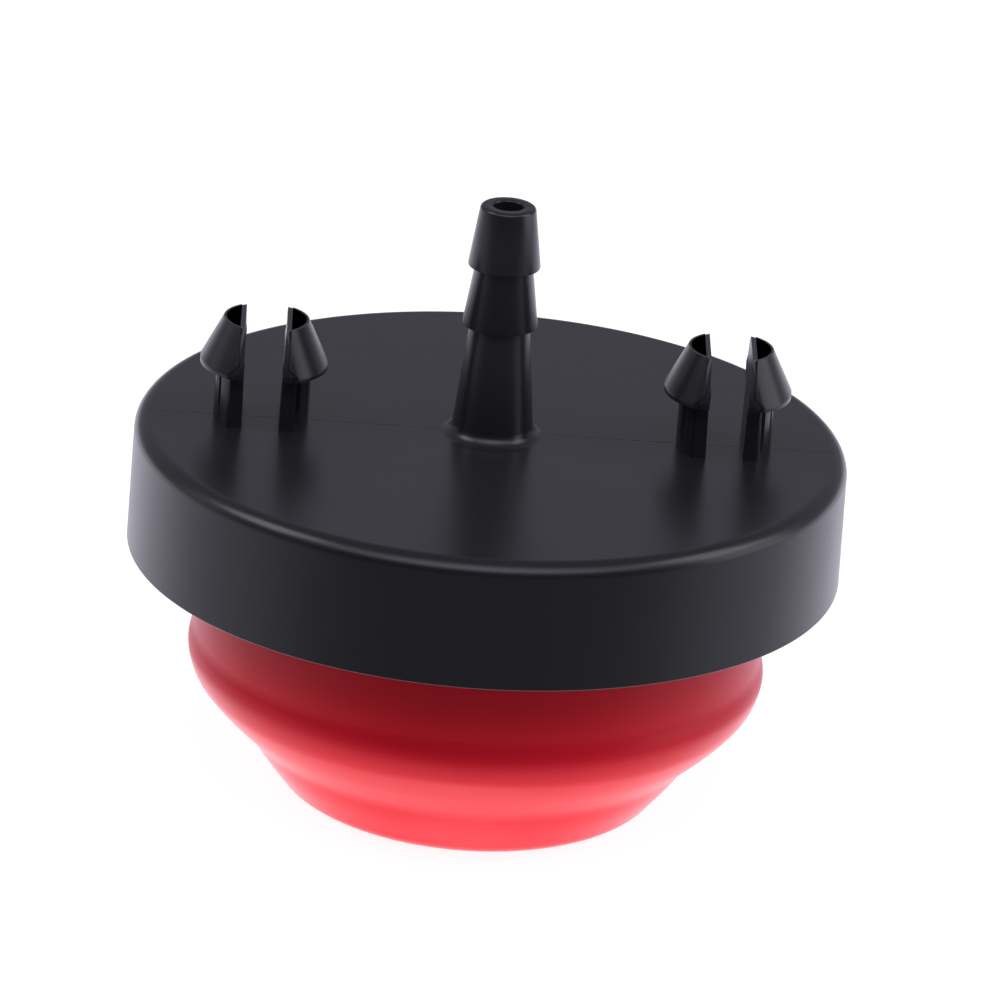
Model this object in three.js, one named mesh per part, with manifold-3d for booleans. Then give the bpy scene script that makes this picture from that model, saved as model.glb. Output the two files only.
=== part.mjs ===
// Primer bulb for a small engine: a red rubber bulb on a black snap-in base with a barbed hose nipple.
// Millimetres, +Z up along the nipple. The bulb's pressed face stands on z = 0, at the origin,
// and the two snap posts stand on the X axis.
import * as THREE from "three";
import { mergeVertices } from "three/addons/utils/BufferGeometryUtils.js";
import Module from "manifold-3d";

// Bulb: its outer form, from the pressed face upwards
const bulbDepth = 30.7; // pressed face to the base's panel face
const faceRadius = 14.4;
const faceFillet = 3.4;
const bandRadius = 17.2; // the band round the face is slightly crowned, and this is its middle
const bandMiddle = 3.55;
const bandCrown = 5;
const bandTopRadius = 18.2;
const bandTop = 5.1;
const shoulderRadius = 23.2;
const shoulderHeight = 10.0;
const shoulderFillet = 2.6;
const ledgeHeight = 12.15; // the wall steps in to the neck here
const neckRadius = 22.88;
const neckBottom = 12.55;
const bulbWall = 2.2;
const ventRadius = 0.8;
const rubberFillet = 0.4; // small rounding of the mouth and of the inner corners

// Base: plate and skirt
const baseRadius = 28.5;
const rimFillet = 1.3;
const skirtHeight = 10.45;
const skirtFlare = 0.1; // the skirt is wider at its foot by this much
const skirtWall = 2.1;
const skirtFootFillet = 0.15;
const plateThickness = 2.4;

// Spigot under the plate: the bulb's mouth is stretched over it, and its bead holds the bulb
const spigotWall = 1.8;
const spigotLength = 6.2;
const beadHeight = 0.6;
const beadWidth = 0.4;
const beadSlope = 0.6;
const beadFromFoot = 1.2;
const fitGap = 0.3; // between the rubber and the plastic, all round

// Hose nipple, with heights from the panel face
const boreRadius = 1.2;
const nippleRootRadius = 3.3;
const nippleRootFillet = 0.9;
const lowerBarbHeight = 9.25;
const lowerBarbRadius = 3.0;
const lowerStemRadius = 2.4;
const upperBarbHeight = 14.2;
const upperBarbRadius = 2.88;
const upperStemRadius = 2.3;
const nippleHeight = 19.2;
const nippleTipRadius = 2.2;
const nippleTipFillet = 0.3;

// Split snap posts, with heights from the panel face
const postOffset = 18.5; // from the nipple's axis
const postRadius = 3.8;
const postHalfDepth = 2.75; // the stems are flattened at the front and back
const postGap = 2.95;
const postGapFlare = 0.3; // the gap is wider at its top by this much
const latchHeight = 4.65; // room for the panel, up to the hooks
const latchOverhang = 1.28;
const hookLip = 0.45; // height of the upright edge below the hook's cone
const hookHalfDepth = 4.25;
const hookTopRadius = 3.4;
const postHeight = 8.5;
const seamWidth = 0.38; // a narrow band beside the gap, set back from the hook's cone
const seamStep = 0.2;

// Fineness of the round forms
const revolveSteps = 60;
const postSteps = 32;
const arcStep = Math.PI / 7;
const sink = 0.6; // how far a joined form reaches into the one that carries it

const panelFace = bulbDepth;
const spigotRadius = neckRadius - bulbWall - fitGap;
const plateUnderside = panelFace - plateThickness;
const spigotFoot = plateUnderside - spigotLength;
const beadBottom = spigotFoot + beadFromFoot;
const beadTop = beadBottom + beadWidth;

const wasm = await Module();
wasm.setup();

// An outline is a list of corners [radius, height, fillet]. This rounds each corner to its fillet.
function roundedOutline(corners) {
  const outline = [];
  corners.forEach(([radius, height, fillet = 0], i) => {
    const corner = new THREE.Vector2(radius, height);
    if (fillet === 0) {
      outline.push(corner);
      return;
    }
    const [beforeRadius, beforeHeight] = corners.at(i - 1);
    const [afterRadius, afterHeight] = corners[(i + 1) % corners.length];
    const back = new THREE.Vector2(beforeRadius, beforeHeight).sub(corner);
    const on = new THREE.Vector2(afterRadius, afterHeight).sub(corner);
    const room = Math.min(back.length(), on.length()) / 2;
    back.normalize();
    on.normalize();
    const halfAngle = Math.acos(THREE.MathUtils.clamp(back.dot(on), -1, 1)) / 2;
    const reach = Math.min(fillet / Math.tan(halfAngle), room);
    const start = corner.clone().addScaledVector(back, reach);
    const toCentre = back.clone().add(on).normalize();
    const centre = corner.clone().addScaledVector(toCentre, reach / Math.cos(halfAngle));
    const sweep = (Math.PI - 2 * halfAngle) * Math.sign(on.cross(back));
    const steps = Math.ceil(Math.abs(sweep) / arcStep);
    for (let k = 0; k <= steps; k += 1) {
      outline.push(start.clone().rotateAround(centre, (sweep * k) / steps));
    }
  });
  return outline;
}

// Moves a run of corners to its left by one wall thickness. The two ends only give directions.
function insetCorners(corners, wall, fillet) {
  return corners.slice(1, -1).map(([radius, height], i) => {
    const corner = new THREE.Vector2(radius, height);
    const arriving = corner.clone().sub(new THREE.Vector2(corners[i][0], corners[i][1]));
    const leaving = new THREE.Vector2(corners[i + 2][0], corners[i + 2][1]).sub(corner);
    const [first, second] = [arriving, leaving].map((side) => {
      side.normalize();
      return new THREE.Vector2(-side.y, side.x);
    });
    const shift = first.clone().add(second).multiplyScalar(wall / (1 + first.dot(second)));
    corner.add(shift);
    return [corner.x, corner.y, fillet];
  });
}

// Turns an outline round the Z axis. A hollow outline closes on itself, a full one on the axis.
function revolved(corners, steps, hollow) {
  const outline = roundedOutline(corners);
  if (hollow) {
    outline.push(outline[0].clone());
  }
  return new THREE.LatheGeometry(outline, steps).rotateX(Math.PI / 2);
}

function solidFrom(geometry) {
  const bare = new THREE.BufferGeometry();
  bare.setAttribute("position", geometry.getAttribute("position"));
  bare.setIndex(geometry.getIndex());
  const merged = mergeVertices(bare, 1e-4);
  const mesh = new wasm.Mesh({
    numProp: 3,
    vertProperties: merged.getAttribute("position").array,
    triVerts: new Uint32Array(merged.getIndex().array),
  });
  return new wasm.Manifold(mesh);
}

function geometryFrom(solid) {
  const mesh = solid.getMesh();
  const geometry = new THREE.BufferGeometry();
  geometry.setAttribute("position", new THREE.BufferAttribute(mesh.vertProperties, 3));
  geometry.setIndex(new THREE.BufferAttribute(mesh.triVerts, 1));
  return geometry;
}

// A block that is centred on X and Y and spans the two heights
function block(width, depth, bottom, top) {
  const geometry = new THREE.BoxGeometry(width, depth, top - bottom);
  return solidFrom(geometry.translate(0, 0, (bottom + top) / 2));
}

function bulbOuterCorners() {
  return [
    [faceRadius, 0, faceFillet],
    [bandRadius, bandMiddle, bandCrown],
    [bandTopRadius, bandTop, rubberFillet],
    [shoulderRadius, shoulderHeight, shoulderFillet],
    [shoulderRadius, ledgeHeight, rubberFillet],
    [neckRadius, neckBottom, rubberFillet],
  ];
}

// The groove inside the mouth follows the spigot's bead, with the fit gap all round it.
function bulbGrooveCorners(mouthHeight) {
  const innerRadius = neckRadius - bulbWall;
  const grooveRadius = innerRadius + beadHeight;
  return [
    [innerRadius, mouthHeight, rubberFillet],
    [innerRadius, beadTop + beadSlope + fitGap],
    [grooveRadius, beadTop + fitGap],
    [grooveRadius, beadBottom - fitGap],
    [innerRadius, beadBottom - beadSlope - fitGap],
  ];
}

function bulbGeometry() {
  const mouthHeight = plateUnderside - fitGap;
  const outer = bulbOuterCorners();
  const ventFoot = [ventRadius, 0];
  const mouth = [neckRadius, mouthHeight, rubberFillet];
  const inner = insetCorners([ventFoot, ...outer, mouth], bulbWall, rubberFillet).reverse();
  const corners = [
    ventFoot,
    ...outer,
    mouth,
    ...bulbGrooveCorners(mouthHeight),
    ...inner,
    [ventRadius, bulbWall],
  ];
  return revolved(corners, revolveSteps, true);
}

function spigotCorners() {
  const innerRadius = spigotRadius - spigotWall;
  return [
    [innerRadius, plateUnderside],
    [innerRadius, spigotFoot],
    [spigotRadius - beadSlope, spigotFoot],
    [spigotRadius + beadHeight, beadBottom],
    [spigotRadius + beadHeight, beadTop],
    [spigotRadius, beadTop + beadSlope],
    [spigotRadius, plateUnderside],
  ];
}

function skirtCorners() {
  const foot = panelFace - skirtHeight;
  const footRadius = baseRadius + skirtFlare;
  return [
    [baseRadius - skirtWall, plateUnderside],
    [footRadius - skirtWall, foot, skirtFootFillet],
    [footRadius, foot, skirtFootFillet],
    [baseRadius, panelFace, rimFillet],
  ];
}

function nippleCorners() {
  return [
    [nippleRootRadius, panelFace, nippleRootFillet],
    [lowerStemRadius, panelFace + lowerBarbHeight],
    [lowerBarbRadius, panelFace + lowerBarbHeight],
    [upperStemRadius, panelFace + upperBarbHeight],
    [upperBarbRadius, panelFace + upperBarbHeight],
    [nippleTipRadius, panelFace + nippleHeight, nippleTipFillet],
    [boreRadius, panelFace + nippleHeight],
  ];
}

// Plate, skirt, spigot and bored nipple are one turned form.
function turnedBase() {
  const boreFoot = [boreRadius, plateUnderside];
  const corners = [boreFoot, ...spigotCorners(), ...skirtCorners(), ...nippleCorners()];
  return solidFrom(revolved(corners, revolveSteps, true));
}

function hookCone(setBack) {
  const reach = postRadius + latchOverhang - setBack;
  const corners = [
    [0, latchHeight],
    [reach, latchHeight],
    [reach, latchHeight + hookLip],
    [hookTopRadius - setBack, postHeight],
    [0, postHeight],
  ];
  return solidFrom(revolved(corners, postSteps, false));
}

// The hook's cone has flat cheeks, and a narrow stepped band on each side of the gap.
function hookHead() {
  const bandWidth = postGap + 2 * seamWidth;
  const band = block(bandWidth, 4 * hookHalfDepth, latchHeight - sink, postHeight + sink);
  const cheeks = block(4 * hookHalfDepth, 2 * hookHalfDepth, latchHeight - sink, postHeight + sink);
  return hookCone(0).subtract(band).add(hookCone(seamStep)).intersect(cheeks);
}

function postStem() {
  const corners = [
    [0, -sink],
    [postRadius, -sink],
    [postRadius, latchHeight + sink],
    [0, latchHeight + sink],
  ];
  const round = solidFrom(revolved(corners, postSteps, false));
  return round.intersect(block(4 * postRadius, 2 * postHalfDepth, -2 * sink, latchHeight + 2 * sink));
}

// The gap that parts a post into two prongs. It widens upwards, so that the prongs leave their mould.
function postSlot() {
  const foot = postGap / 2;
  const top = foot + postGapFlare / 2;
  const outline = new THREE.Shape([
    new THREE.Vector2(-foot, 0),
    new THREE.Vector2(foot, 0),
    new THREE.Vector2(top, postHeight + sink),
    new THREE.Vector2(-top, postHeight + sink),
  ]);
  const depth = 4 * hookHalfDepth;
  const geometry = new THREE.ExtrudeGeometry(outline, { depth, bevelEnabled: false });
  return solidFrom(geometry.rotateX(Math.PI / 2).translate(0, depth / 2, 0));
}

function snapPost() {
  return postStem().add(hookHead()).subtract(postSlot());
}

function baseGeometry() {
  const post = snapPost();
  const places = [-postOffset, postOffset];
  const posts = places.map((x) => post.translate(x, 0, panelFace));
  return geometryFrom(posts.reduce((base, one) => base.add(one), turnedBase()));
}

const blackPlastic = new THREE.MeshStandardMaterial({ color: 0x1b1b1e, roughness: 0.36, metalness: 0 });
const redRubber = new THREE.MeshStandardMaterial({ color: 0xc8182c, roughness: 0.42, metalness: 0 });

const base = new THREE.Mesh(baseGeometry(), blackPlastic);
base.name = "base";

const bulb = new THREE.Mesh(bulbGeometry(), redRubber);
bulb.name = "bulb";

const primerBulb = new THREE.Group();
primerBulb.add(base, bulb);

export default primerBulb;
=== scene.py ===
"""Primer bulb of a small engine, upside down on its red rubber bulb, in a plain white studio.

Metres, in the CAD frame: the bulb's pressed face stands on z = 0 and the snap posts are on the X axis.
"""
from math import pi, radians

import bmesh
import bpy
from mathutils import Matrix, Vector


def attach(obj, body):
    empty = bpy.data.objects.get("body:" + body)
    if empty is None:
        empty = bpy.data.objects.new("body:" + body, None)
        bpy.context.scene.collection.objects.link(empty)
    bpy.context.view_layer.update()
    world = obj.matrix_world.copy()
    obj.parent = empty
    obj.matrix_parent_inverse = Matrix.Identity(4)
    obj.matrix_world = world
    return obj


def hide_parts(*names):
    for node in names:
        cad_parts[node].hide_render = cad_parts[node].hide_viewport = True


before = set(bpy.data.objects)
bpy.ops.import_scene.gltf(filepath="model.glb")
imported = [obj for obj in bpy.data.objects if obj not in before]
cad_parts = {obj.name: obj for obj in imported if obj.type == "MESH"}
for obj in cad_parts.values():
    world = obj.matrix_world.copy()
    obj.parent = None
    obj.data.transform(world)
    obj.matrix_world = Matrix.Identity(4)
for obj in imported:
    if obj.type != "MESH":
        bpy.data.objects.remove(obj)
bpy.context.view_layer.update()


# ---- Base moulding: plate, skirt, spigot and barbed nipple -------------------------------------------
# The round snap-in base of the primer, injection moulded in one shot of black polypropylene.
# It is turned here ring by ring: up the bore, down the barbed nipple, out over the plate, down the skirt
# and back in round the hidden spigot that the bulb's mouth is stretched over.
panel_face = 0.0307
plate_underside = 0.0283
skirt_foot = panel_face - 0.01045
plate_radius = 0.0285
skirt_radius = 0.0286
skirt_inner_radius = 0.0265
bore_radius = 0.0012
nipple_root_radius = 0.0033
lower_stem_radius = 0.0024
upper_stem_radius = 0.0023
tip_radius = 0.0022
lower_barb = panel_face + 0.00925
upper_barb = panel_face + 0.0142
nipple_tip = panel_face + 0.0192
spigot_radius = 0.0204
bead_radius = 0.0210


def start_rings(name, steps, radius, height):
    """Adds an open ring of edges that a turned piece grows from."""
    bpy.ops.object.select_all(action="DESELECT")
    bpy.ops.mesh.primitive_circle_add(vertices=steps, radius=radius, location=(0, 0, height))
    piece = bpy.context.object
    piece.name = piece.data.name = name
    bpy.ops.object.transform_apply(location=True)
    bpy.ops.object.mode_set(mode="EDIT")
    bpy.ops.mesh.select_mode(type="VERT")
    bpy.ops.mesh.select_all(action="SELECT")
    return piece


def grow_rings(radius, height, outline):
    """Extrudes the selected ring through an outline of radii and heights."""
    for next_radius, next_height in outline:
        bpy.ops.mesh.extrude_region_move(TRANSFORM_OT_translate={"value": (0, 0, next_height - height)})
        size = next_radius / radius
        bpy.ops.transform.resize(value=(size, size, 1), center_override=(0, 0, next_height))
        radius, height = next_radius, next_height


def close_rings():
    """Welds the last ring to the first and turns every face outwards."""
    bpy.ops.mesh.select_all(action="SELECT")
    bpy.ops.mesh.remove_doubles(threshold=1e-6)
    bpy.ops.mesh.normals_make_consistent(inside=False)


def round_ring(piece, radius, height, reach, segments):
    """Rounds the ring of edges at one radius and height."""
    mesh = bmesh.from_edit_mesh(piece.data)
    bpy.ops.mesh.select_all(action="DESELECT")
    bpy.ops.mesh.select_mode(type="EDGE")
    for edge in mesh.edges:
        edge.select_set(all(
            abs(vertex.co.z - height) < 2e-6 and abs(vertex.co.xy.length - radius) < 2e-6
            for vertex in edge.verts))
    bmesh.update_edit_mesh(piece.data)
    bpy.ops.mesh.bevel(offset_type="OFFSET", offset=reach, segments=segments, affect="EDGES")


nipple_outline = [
    (bore_radius, nipple_tip),
    (tip_radius, nipple_tip),
    (0.00288, panel_face + 0.0143),
    (0.00286, upper_barb),
    (upper_stem_radius, upper_barb),
    (0.00300, panel_face + 0.00935),
    (0.00298, lower_barb),
    (lower_stem_radius, lower_barb),
    (nipple_root_radius, panel_face),
]
skirt_outline = [
    (plate_radius, panel_face),
    (skirt_radius, skirt_foot),
    (skirt_inner_radius, skirt_foot),
    (0.0264, plate_underside),
]
spigot_outline = [
    (spigot_radius, plate_underside),
    (spigot_radius, 0.0241),
    (bead_radius, 0.0235),
    (bead_radius, 0.0233),
    (0.0198, 0.0221),
    (0.0186, 0.0221),
    (0.0186, plate_underside),
    (bore_radius, plate_underside),
]

ring_steps = 192
base_moulding = start_rings("base_moulding", ring_steps, bore_radius, plate_underside)
grow_rings(bore_radius, plate_underside, nipple_outline + skirt_outline + spigot_outline)
close_rings()
for radius, height, reach, segments in (
        (bore_radius, nipple_tip, 0.00018, 3),
        (tip_radius, nipple_tip, 0.00028, 5),
        (upper_stem_radius, upper_barb, 0.00015, 2),
        (lower_stem_radius, lower_barb, 0.00015, 2),
        (nipple_root_radius, panel_face, 0.0009, 9),
        (plate_radius, panel_face, 0.0013, 9),
        (skirt_radius, skirt_foot, 0.00018, 4),
        (skirt_inner_radius, skirt_foot, 0.00018, 3),
        (spigot_radius, plate_underside, 0.0003, 3),
        (bead_radius, 0.0235, 0.0001, 2),
        (bead_radius, 0.0233, 0.0001, 2)):
    round_ring(base_moulding, radius, height, reach, segments)
bpy.ops.object.mode_set(mode="OBJECT")


# ---- Split snap posts --------------------------------------------------------------------------------
# Two posts on the X axis that hold the base in a panel, each parted by a gap into two springy prongs.
# A prong is a half round stem, flat at its front and back, under a hook head: a cone with flat cheeks,
# an upright lip below and a narrow stepped band beside the gap. They are moulded in one with the plate.
post_offset = 0.0185
stem_radius = 0.0038
stem_half_depth = 0.00275
stem_length = 0.0062
stem_middle = panel_face + 0.0022
hook_radius = 0.00508
hook_top_radius = 0.0034
hook_half_depth = 0.00425
hook_lip = 0.00045
hook_foot = panel_face + 0.00465
hook_top = panel_face + 0.0085
gap_foot = 0.001475
gap_top = 0.001625
band_width = 0.0004
band_set_back = 0.0002
edge_softness = 0.00009
post_steps = 128


def trim(point, normal):
    """Cuts the open edit mesh by a plane and closes it, keeping what lies behind the normal."""
    bpy.ops.mesh.select_all(action="SELECT")
    bpy.ops.mesh.bisect(plane_co=point, plane_no=normal, use_fill=True, clear_outer=True)


def hook_head(name, set_back):
    """A cone on an upright lip, with flat cheeks at the front and back."""
    bpy.ops.object.select_all(action="DESELECT")
    bpy.ops.mesh.primitive_cylinder_add(
        vertices=post_steps, radius=hook_radius - set_back, depth=hook_lip,
        location=(0, 0, hook_foot + hook_lip / 2))
    head = bpy.context.object
    head.name = name
    bpy.ops.object.transform_apply(location=True)
    bpy.ops.object.mode_set(mode="EDIT")
    mesh = bmesh.from_edit_mesh(head.data)
    bpy.ops.mesh.select_mode(type="FACE")
    for face in mesh.faces:
        face.select_set(face.normal.z > 0.9)
    bmesh.update_edit_mesh(head.data)
    rise = hook_top - hook_foot - hook_lip
    bpy.ops.mesh.extrude_region_move(TRANSFORM_OT_translate={"value": (0, 0, rise)})
    size = (hook_top_radius - set_back) / (hook_radius - set_back)
    bpy.ops.transform.resize(value=(size, size, 1), center_override=(0, 0, hook_top))
    for side in (-1, 1):
        trim((0, side * hook_half_depth, 0), (0, side, 0))
    return head


def join(piece, other):
    """Unites two solids into one and removes the second."""
    bpy.ops.object.select_all(action="DESELECT")
    bpy.context.view_layer.objects.active = piece
    piece.select_set(True)
    union = piece.modifiers.new("union", "BOOLEAN")
    union.operation = "UNION"
    union.solver = "EXACT"
    union.object = other
    bpy.ops.object.modifier_apply(modifier=union.name)
    bpy.data.objects.remove(other)


bpy.ops.object.select_all(action="DESELECT")
bpy.ops.mesh.primitive_cylinder_add(
    vertices=post_steps, radius=stem_radius, depth=stem_length, location=(0, 0, stem_middle))
prong = bpy.context.object
prong.name = "prong"
bpy.ops.object.transform_apply(location=True)
bpy.ops.object.mode_set(mode="EDIT")
for side in (-1, 1):
    trim((0, side * stem_half_depth, 0), (0, side, 0))
bpy.ops.object.mode_set(mode="OBJECT")

cone = hook_head("cone", 0)
trim((gap_top + band_width, 0, 0), (-1, 0, 0))
bpy.ops.object.mode_set(mode="OBJECT")
stepped_band = hook_head("stepped_band", band_set_back)
bpy.ops.object.mode_set(mode="OBJECT")
join(prong, stepped_band)
join(prong, cone)

bpy.ops.object.mode_set(mode="EDIT")
lean = (gap_top - gap_foot) / (hook_top - panel_face)
trim((gap_foot, 0, panel_face), Vector((-1, 0, lean)).normalized())
bpy.ops.object.mode_set(mode="OBJECT")
soft_edge = prong.modifiers.new("soft_edge", "BEVEL")
soft_edge.limit_method = "ANGLE"
soft_edge.angle_limit = radians(32)
soft_edge.width = edge_softness
soft_edge.segments = 2
bpy.ops.object.modifier_apply(modifier=soft_edge.name)

for post_x in (-post_offset, post_offset):
    for side in (-1, 1):
        bpy.ops.object.select_all(action="DESELECT")
        prong.select_set(True)
        bpy.context.view_layer.objects.active = prong
        bpy.ops.object.duplicate()
        copy = bpy.context.object
        bpy.ops.object.mode_set(mode="EDIT")
        bpy.ops.mesh.select_all(action="SELECT")
        if side < 0:
            bpy.ops.transform.rotate(value=pi, orient_axis="Z", center_override=(0, 0, 0))
        bpy.ops.transform.translate(value=(post_x, 0, 0))
        bpy.ops.object.mode_set(mode="OBJECT")
        join(base_moulding, copy)
bpy.data.objects.remove(prong)


def finish_faces(piece, angle):
    """Smooth shading that keeps flat faces flat and edges above an angle sharp."""
    bpy.ops.object.select_all(action="DESELECT")
    piece.select_set(True)
    bpy.context.view_layer.objects.active = piece
    bpy.ops.object.shade_smooth_by_angle(angle=radians(angle))
    weighted = piece.modifiers.new("weighted_normals", "WEIGHTED_NORMAL")
    weighted.keep_sharp = True
    bpy.ops.object.modifier_apply(modifier=weighted.name)


finish_faces(base_moulding, 32)


class Wire:
    """The output of a shader node. Arithmetic on wires adds Math nodes."""

    def __init__(self, socket):
        self.socket = socket

    def node(self, kind, settings, inputs, output=0):
        """Adds a node of any type: its settings come first, then its sockets' values or links."""
        tree = self.socket.id_data
        node = tree.nodes.new(kind)
        for name, value in settings.items():
            setattr(node, name, value)
        for name, value in inputs.items():
            if isinstance(value, Wire):
                tree.links.new(value.socket, node.inputs[name])
            else:
                node.inputs[name].default_value = value
        return Wire(node.outputs[output])

    def math(self, operation, *values):
        return self.node("ShaderNodeMath", {"operation": operation}, dict(enumerate(values)))

    def __add__(self, other):
        return self.math("ADD", self, other)

    def __radd__(self, other):
        return self.math("ADD", other, self)

    def __sub__(self, other):
        return self.math("SUBTRACT", self, other)

    def __rsub__(self, other):
        return self.math("SUBTRACT", other, self)

    def __mul__(self, other):
        return self.math("MULTIPLY", self, other)

    def __rmul__(self, other):
        return self.math("MULTIPLY", other, self)

    def __abs__(self):
        return self.math("ABSOLUTE", self)

    def step(self, low, high):
        """0 below low, 1 above high, smooth between them."""
        return self.node(
            "ShaderNodeMapRange", {"interpolation_type": "SMOOTHSTEP"},
            {"Value": self, "From Min": low, "From Max": high})

    def part(self, axis):
        """One coordinate of a vector."""
        return self.node("ShaderNodeSeparateXYZ", {}, {"Vector": self}, output=axis)

    def noise(self, scale, detail=2.0, roughness=0.5):
        return self.node(
            "ShaderNodeTexNoise", {},
            {"Vector": self, "Scale": scale, "Detail": detail, "Roughness": roughness})

    def mix(self, first, second):
        """From the first colour to the second as this wire goes from 0 to 1."""
        tree = self.socket.id_data
        node = tree.nodes.new("ShaderNodeMix")
        node.data_type = "RGBA"
        for socket, value in ((node.inputs[0], self), (node.inputs[6], first), (node.inputs[7], second)):
            if isinstance(value, Wire):
                tree.links.new(value.socket, socket)
            else:
                socket.default_value = value
        return Wire(node.outputs[2])


def new_finish(name):
    """An empty Principled material and its Object coordinates."""
    material = bpy.data.materials.new(name)
    material.use_nodes = True
    tree = material.node_tree
    shader = tree.nodes["Principled BSDF"]
    return material, shader, Wire(tree.nodes.new("ShaderNodeTexCoord").outputs["Object"])


def feed(shader, socket, wire):
    shader.id_data.links.new(wire.socket, shader.inputs[socket])


# Satin black: a fine moulded grain, slow waves that bend its reflections, a parting line across the
# top of the plate, and a few specks of dust.
black_plastic, shader, place = new_finish("black_plastic")
shader.inputs["IOR"].default_value = 1.5
fine_grain = place.noise(2600, 3)
slow_wave = place.noise(130, 1)
smudge = place.noise(95, 3)
across = abs(place.part(1))
plate_top = place.part(2).step(panel_face - 0.0002, panel_face - 0.0001)
parting_line = (1 - across.step(0.00003, 0.00011)) * plate_top
specks = place.node("ShaderNodeTexVoronoi", {}, {"Vector": place, "Scale": 330.0, "Randomness": 1.0})
speck_pick = place.node(
    "ShaderNodeTexVoronoi", {}, {"Vector": place, "Scale": 330.0, "Randomness": 1.0}, output="Color")
dust = (1 - specks.step(0.03, 0.05)) * speck_pick.part(0).step(0.955, 0.96)
feed(shader, "Base Color", dust.mix(
    smudge.mix((0.0120, 0.0120, 0.0148, 1), (0.0163, 0.0158, 0.0198, 1)), (0.16, 0.16, 0.17, 1)))
feed(shader, "Roughness", 0.25 + 0.07 * smudge + 0.2 * dust)
height = 0.00003 * slow_wave + 0.0000012 * fine_grain - 0.00003 * parting_line
feed(shader, "Normal", place.node(
    "ShaderNodeBump", {}, {"Strength": 1.0, "Distance": 1.0, "Height": height}))
base_moulding.data.materials.clear()
base_moulding.data.materials.append(black_plastic)

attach(base_moulding, "root")
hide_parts("base")


# ---- Bulb shell --------------------------------------------------------------------------------------
# The red cup that a thumb presses: one compression-moulded rubber shell, open at its mouth, with a vent
# in the pressed face. Its neck goes up inside the skirt, and a groove in the mouth grips the spigot.
# The outline goes from the vent out over the face, up the outside, in at the mouth and down the inside.
vent_radius = 0.0008
shell_outline = [
    (0.0144, 0.0),
    (0.0172, 0.00355),
    (0.0182, 0.0051),
    (0.0213, 0.0080),
    (0.0232, 0.0104),
    (0.0232, 0.01215),
    (0.02288, 0.0131),
    (0.02288, 0.0280),
    (0.0207, 0.0280),
    (0.0207, 0.0244),
    (0.0213, 0.0238),
    (0.0213, 0.0230),
    (0.0207, 0.0224),
    (0.0207, 0.0124),
    (0.0210, 0.0109),
    (0.0161, 0.0061),
    (0.0134, 0.0022),
    (vent_radius, 0.0022),
    (vent_radius, 0.0),
]
bulb_shell = start_rings("bulb_shell", ring_steps, vent_radius, 0.0)
grow_rings(vent_radius, 0.0, shell_outline)
close_rings()
for radius, height, reach, segments in (
        (vent_radius, 0.0, 0.0002, 2),
        (0.0144, 0.0, 0.0016, 8),
        (0.0172, 0.00355, 0.0009, 4),
        (0.0182, 0.0051, 0.0007, 4),
        (0.0213, 0.0080, 0.0014, 6),
        (0.0232, 0.0104, 0.00135, 10),
        (0.0232, 0.01215, 0.00038, 4),
        (0.02288, 0.0131, 0.00038, 4),
        (0.02288, 0.0280, 0.0004, 4),
        (0.0207, 0.0280, 0.0004, 4),
        (0.0210, 0.0109, 0.0006, 4),
        (0.0134, 0.0022, 0.0006, 4)):
    round_ring(bulb_shell, radius, height, reach, segments)
bpy.ops.object.mode_set(mode="OBJECT")
finish_faces(bulb_shell, 50)

# Satin red rubber: soft waves from the mould, a faint orange-peel, and slow changes of depth in the red.
red_rubber, shader, place = new_finish("red_rubber")
shader.inputs["IOR"].default_value = 1.33
mottle = place.noise(70, 3)
peel = place.noise(1500, 2)
wave = place.noise(160, 2)
feed(shader, "Base Color", mottle.mix((0.76, 0.007, 0.020, 1), (0.84, 0.010, 0.030, 1)))
feed(shader, "Roughness", 0.32 + 0.08 * mottle)
height = 0.00004 * wave + 0.0000015 * peel
feed(shader, "Normal", place.node(
    "ShaderNodeBump", {}, {"Strength": 1.0, "Distance": 1.0, "Height": height}))
bulb_shell.data.materials.clear()
bulb_shell.data.materials.append(red_rubber)

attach(bulb_shell, "root")
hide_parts("bulb")


# ---- Studio: table, surroundings, lamps and camera ---------------------------------------------------
# The part stands on a white light table. The table is white to the camera and keeps the part's shadow,
# and light passes up through it. Soft boxes stand left and right, high and low, and one lies under it.
bpy.ops.object.select_all(action="DESELECT")
bpy.ops.mesh.primitive_plane_add(size=4.0, location=(0, 0, 0))
table = bpy.context.object
table.name = "table"
table_finish, shader, place = new_finish("table_finish")
shader.inputs["Base Color"].default_value = (0.3, 0.3, 0.3, 1)
shader.inputs["Roughness"].default_value = 0.9
shader.inputs["Specular IOR Level"].default_value = 0.0
tree = table_finish.node_tree
glow = place.node("ShaderNodeEmission", {}, {"Color": (1, 1, 1, 1), "Strength": 0.9})
lit = place.node("ShaderNodeAddShader", {}, {0: glow, 1: Wire(shader.outputs[0])})
clear = place.node("ShaderNodeBsdfTransparent", {}, {})
seen = place.node("ShaderNodeLightPath", {}, {}, output="Is Camera Ray")
shown = place.node("ShaderNodeMixShader", {}, {0: seen, 1: clear, 2: lit})
tree.links.new(shown.socket, tree.nodes["Material Output"].inputs["Surface"])
table.data.materials.append(table_finish)

world = bpy.data.worlds.new("studio")
bpy.context.scene.world = world
world.use_nodes = True
tree = world.node_tree
look = Wire(tree.nodes.new("ShaderNodeTexCoord").outputs["Generated"])
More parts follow.
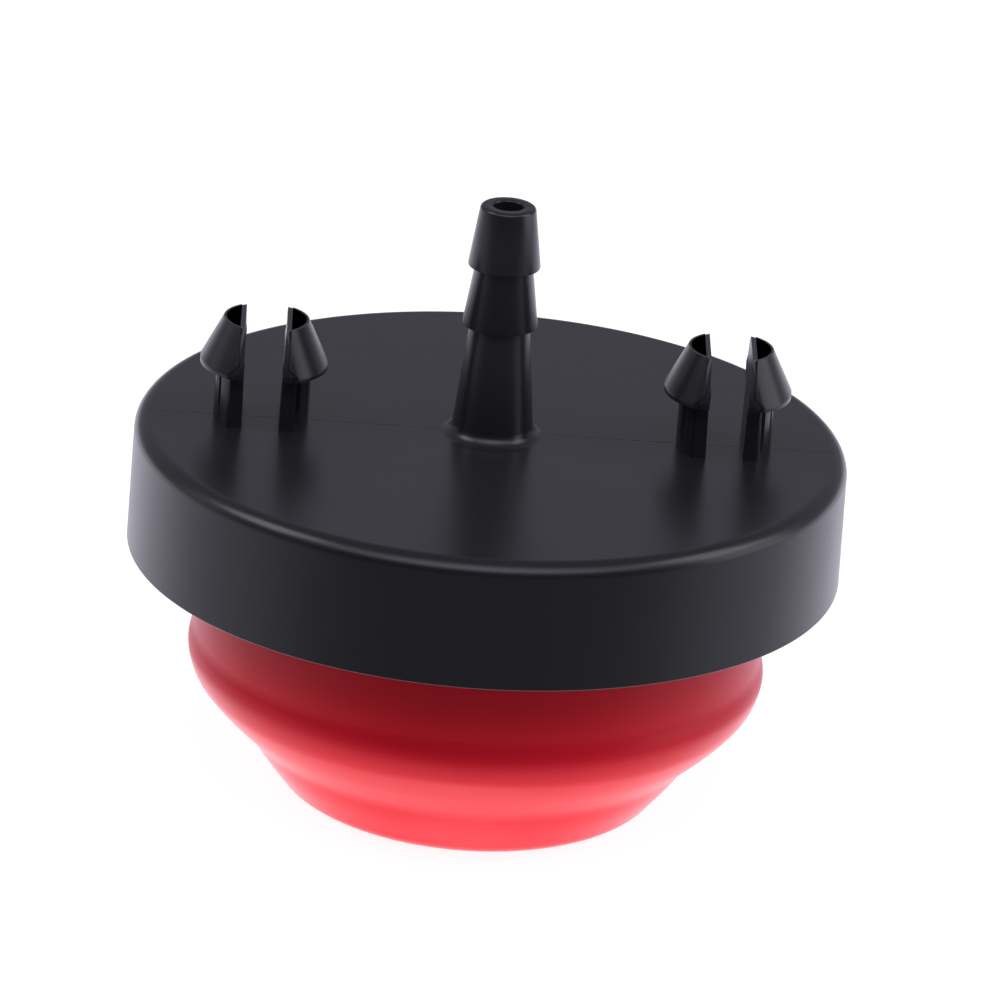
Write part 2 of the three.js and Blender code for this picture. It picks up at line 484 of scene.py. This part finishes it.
# Light comes from the ceiling in front, less from the walls, and from low down at the sides and back.
front = 1 - look.part(1).step(-0.75, -0.05)
back = look.part(1).step(0.05, 0.75)
below = 1 - look.part(2).step(-0.12, 0.05)
shallow = look.part(2).step(-0.85, -0.45)
high = look.part(2).step(0.45, 0.80)
low_light = shallow * (0.72 - 0.5 * front + 0.5 * back)
wall_light = 0.17 - 0.13 * front + 0.13 * back
ceiling_light = 0.2 + 2.3 * front
surroundings = below * low_light + (1 - below) * ((1 - high) * wall_light + high * ceiling_light)
seen = look.node("ShaderNodeLightPath", {}, {}, output="Is Camera Ray")
strength = seen + (1 - seen) * surroundings
backdrop = tree.nodes["Background"]
tree.links.new(seen.mix((0.96, 0.93, 1.08, 1), (1, 1, 1, 1)).socket, backdrop.inputs["Color"])
tree.links.new(strength.socket, backdrop.inputs["Strength"])


def soft_box(name, place, size, power, colour):
    """A square lamp that faces the part."""
    lamp = bpy.data.lights.new(name, "AREA")
    lamp.shape = "SQUARE"
    lamp.size = size
    lamp.energy = power
    lamp.color = colour
    box = bpy.data.objects.new(name, lamp)
    bpy.context.scene.collection.objects.link(box)
    box.location = place
    box.rotation_euler = (Vector((0, 0, 0.03)) - Vector(place)).to_track_quat("-Z", "Y").to_euler()
    box.visible_camera = False
    return box


soft_box("left_box", (-0.42, -0.02, 0.42), 0.26, 0.67, (1.0, 0.97, 0.95))
soft_box("right_box", (0.42, -0.02, 0.40), 0.26, 0.52, (0.92, 0.95, 1.0))
soft_box("left_wall", (-0.50, 0.10, 0.16), 0.20, 0.05, (1.0, 0.97, 0.95))
soft_box("right_wall", (0.50, -0.02, 0.16), 0.34, 0.50, (0.92, 0.95, 1.0))
under_box = soft_box("under_box", (0, 0, -0.30), 0.12, 0.62, (1.0, 1.0, 1.0))
under_box.visible_glossy = False
lit_patch = soft_box("lit_patch", (0, 0, -0.0006), 0.074, 0.0145, (0.97, 0.98, 1.0))
lit_patch.data.shape = "DISK"

camera_data = bpy.data.cameras.new("camera")
camera_data.lens = 321.05
camera_data.sensor_width = 36.0
camera = bpy.data.objects.new("camera", camera_data)
bpy.context.scene.collection.objects.link(camera)
turn = (Matrix.Rotation(radians(-1.75), 4, "Z")
        @ Matrix.Rotation(radians(90 - 21.33), 4, "X")
        @ Matrix.Rotation(radians(4.26), 4, "Z"))
camera.matrix_world = Matrix.Translation((-0.01924, -0.66539, 0.28482)) @ turn
bpy.context.scene.camera = camera
bpy.context.scene.view_settings.view_transform = "Standard"
